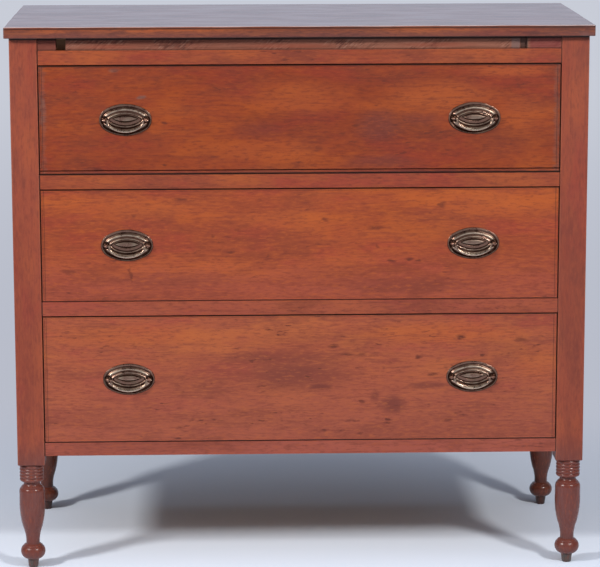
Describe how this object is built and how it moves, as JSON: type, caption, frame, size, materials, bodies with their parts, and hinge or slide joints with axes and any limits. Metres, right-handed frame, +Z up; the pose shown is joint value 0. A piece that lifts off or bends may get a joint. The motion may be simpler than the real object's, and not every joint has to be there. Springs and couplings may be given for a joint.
{
  "type": "butler desk",
  "caption": "Butler's desk: chest of long drawers on turned legs, its top drawer with a fall front that opens to a writing bed, pigeonholes and small drawers; oval brass bail handles.",
  "frame": {"origin": "on the floor under the middle of the top board", "axes": "+X to the viewer's right along the front, +Y from the front to the back, +Z up"},
  "size_m": [1.078, 0.505, 1.025],
  "materials": {
    "cherry": "shellac polish, aged red-brown",
    "rough_cherry": "bare and weathered",
    "poplar": "bare, darkened with age",
    "brass": "stamped, antique brown"
  },
  "bodies": {
    "carcase": {"top_board": "cherry", "post_front_left": "cherry", "post_front_right": "cherry", "post_rear_left": "cherry", "post_rear_right": "cherry", "end_panel_left": "cherry", "end_panel_right": "cherry", "back_boards": "poplar", "rear_rails": "poplar", "top_rail": "cherry", "frieze_backing": "poplar", "frieze_strips": "rough_cherry", "upper_divider": "cherry", "lower_divider": "cherry", "bottom_rail": "cherry", "drawer_runners": "poplar", "kickers": "poplar", "drawer_stops": "poplar", "glue_blocks": "poplar"},
    "desk_drawer": {"desk_bed": "cherry", "desk_sill": "cherry", "desk_sides": "poplar", "desk_back": "poplar", "pivot_arms": "brass", "quadrant_keepers": "brass", "gallery_shelves": "cherry", "gallery_uprights": "cherry", "gallery_valances": "cherry"},
    "fall_front": {"fall_board": "cherry", "fall_beads": "cherry", "fall_pivot_pins": "brass", "fall_quadrants": "brass", "fall_back_plates": "brass", "fall_bail_posts": "brass"},
    "small_drawer_1": {"small_drawer_1": "cherry"},
    "small_drawer_2": {"small_drawer_2": "cherry"},
    "small_drawer_3": {"small_drawer_3": "cherry"},
    "small_drawer_4": {"small_drawer_4": "cherry"},
    "middle_drawer": {"middle_front": "cherry", "middle_sides": "poplar", "middle_back": "poplar", "middle_bottom": "poplar", "middle_beads": "cherry", "middle_back_plates": "brass", "middle_bail_posts": "brass"},
    "lower_drawer": {"lower_front": "cherry", "lower_sides": "poplar", "lower_back": "poplar", "lower_bottom": "poplar", "lower_beads": "cherry", "lower_back_plates": "brass", "lower_bail_posts": "brass"},
    "fall_bail_left": {"fall_bail_left": "brass"},
    "fall_bail_right": {"fall_bail_right": "brass"},
    "middle_bail_left": {"middle_bail_left": "brass"},
    "middle_bail_right": {"middle_bail_right": "brass"},
    "lower_bail_left": {"lower_bail_left": "brass"},
    "lower_bail_right": {"lower_bail_right": "brass"}
  },
  "joints": [
    {"name": "desk_drawer_slide", "type": "slide", "parent": "carcase", "child": "desk_drawer", "axis": [0, -1, 0], "range_m": [0, 0.26]},
    {"name": "fall_hinge", "type": "hinge", "parent": "desk_drawer", "child": "fall_front", "pos_m": [0, -0.2235, 0.7699], "axis": [1, 0, 0], "range_deg": [0, 90]},
    {"name": "middle_drawer_slide", "type": "slide", "parent": "carcase", "child": "middle_drawer", "axis": [0, -1, 0], "range_m": [0, 0.34]},
    {"name": "lower_drawer_slide", "type": "slide", "parent": "carcase", "child": "lower_drawer", "axis": [0, -1, 0], "range_m": [0, 0.34]},
    {"name": "small_drawer_1_slide", "type": "slide", "parent": "desk_drawer", "child": "small_drawer_1", "axis": [0, -1, 0], "range_m": [0, 0.15]},
    {"name": "small_drawer_2_slide", "type": "slide", "parent": "desk_drawer", "child": "small_drawer_2", "axis": [0, -1, 0], "range_m": [0, 0.15]},
    {"name": "small_drawer_3_slide", "type": "slide", "parent": "desk_drawer", "child": "small_drawer_3", "axis": [0, -1, 0], "range_m": [0, 0.15]},
    {"name": "small_drawer_4_slide", "type": "slide", "parent": "desk_drawer", "child": "small_drawer_4", "axis": [0, -1, 0], "range_m": [0, 0.15]},
    {"name": "fall_bail_left_swing", "type": "hinge", "parent": "fall_front", "child": "fall_bail_left", "pos_m": [-0.3205, -0.2415, 0.85325], "axis": [-1, 0, 0], "range_deg": [0, 100]},
    {"name": "fall_bail_right_swing", "type": "hinge", "parent": "fall_front", "child": "fall_bail_right", "pos_m": [0.3205, -0.2415, 0.85325], "axis": [-1, 0, 0], "range_deg": [0, 100]},
    {"name": "middle_bail_left_swing", "type": "hinge", "parent": "middle_drawer", "child": "middle_bail_left", "pos_m": [-0.3205, -0.2415, 0.62], "axis": [-1, 0, 0], "range_deg": [0, 100]},
    {"name": "middle_bail_right_swing", "type": "hinge", "parent": "middle_drawer", "child": "middle_bail_right", "pos_m": [0.3205, -0.2415, 0.62], "axis": [-1, 0, 0], "range_deg": [0, 100]},
    {"name": "lower_bail_left_swing", "type": "hinge", "parent": "lower_drawer", "child": "lower_bail_left", "pos_m": [-0.3205, -0.2415, 0.36725], "axis": [-1, 0, 0], "range_deg": [0, 100]},
    {"name": "lower_bail_right_swing", "type": "hinge", "parent": "lower_drawer", "child": "lower_bail_right", "pos_m": [0.3205, -0.2415, 0.36725], "axis": [-1, 0, 0], "range_deg": [0, 100]}
  ]
}
